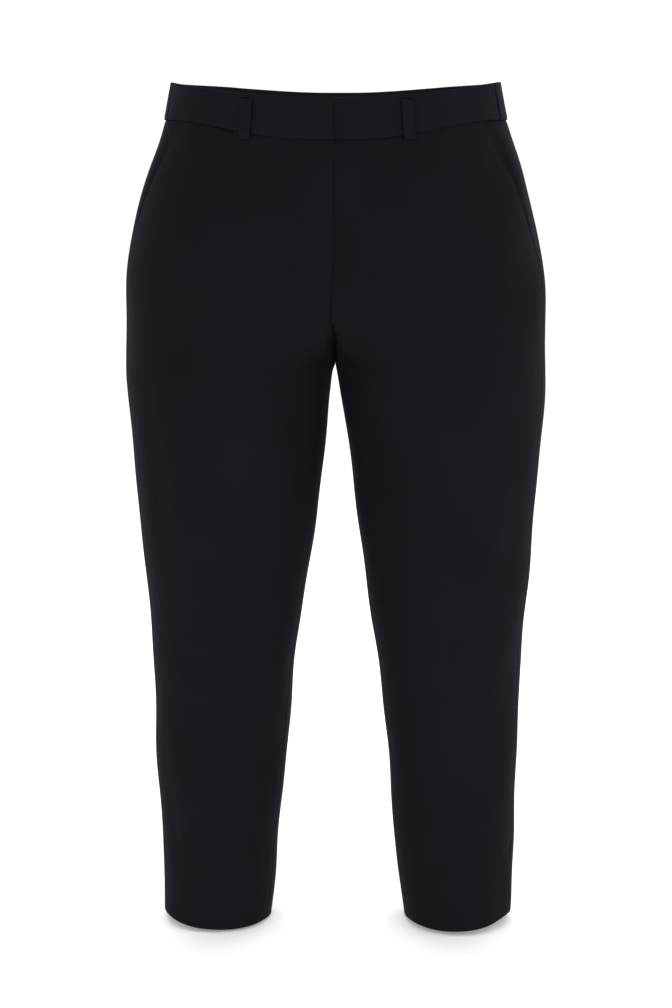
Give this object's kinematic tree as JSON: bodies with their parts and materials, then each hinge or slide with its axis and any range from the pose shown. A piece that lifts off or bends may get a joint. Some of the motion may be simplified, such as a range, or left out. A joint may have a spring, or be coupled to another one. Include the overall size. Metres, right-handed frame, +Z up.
{
  "type": "tapered dress trousers",
  "caption": "Tapered dress trousers with a dipped waistband, slanted front pockets, a lapped fly, belt loops and turned-up hems: a hollow shell of cloth, filled out as worn.",
  "frame": {"origin": "middle of the waistband's ring, where the wearer's waist holds the trousers up, 22 mm under the band's top edge at the side", "axes": "+Z up along the body, -Y the way the wearer faces, +X the wearer's left"},
  "size_m": [0.4767, 0.3044, 0.9682],
  "materials": {
    "leg_panel": "matte smooth wool-like suiting, navy so dark that it is nearly black",
    "waistband": "the same suiting, doubled and stiffened",
    "belt_loop": "the same suiting, folded narrow and pressed",
    "hip_panel": "the same suiting, seen in the slanted pocket opening"
  },
  "bodies": {
    "root": {"waistband_front_right": "waistband", "waistband_front_left": "waistband", "waistband_back": "waistband", "front_right": "leg_panel", "front_left": "leg_panel", "back_right": "leg_panel", "back_left": "leg_panel", "hip_panel_right": "hip_panel", "hip_panel_left": "hip_panel", "belt_loop_front_right": "belt_loop", "belt_loop_front_left": "belt_loop", "belt_loop_back_right": "belt_loop", "belt_loop_back_left": "belt_loop", "belt_loop_centre_back": "belt_loop"}
  },
  "joints": []
}
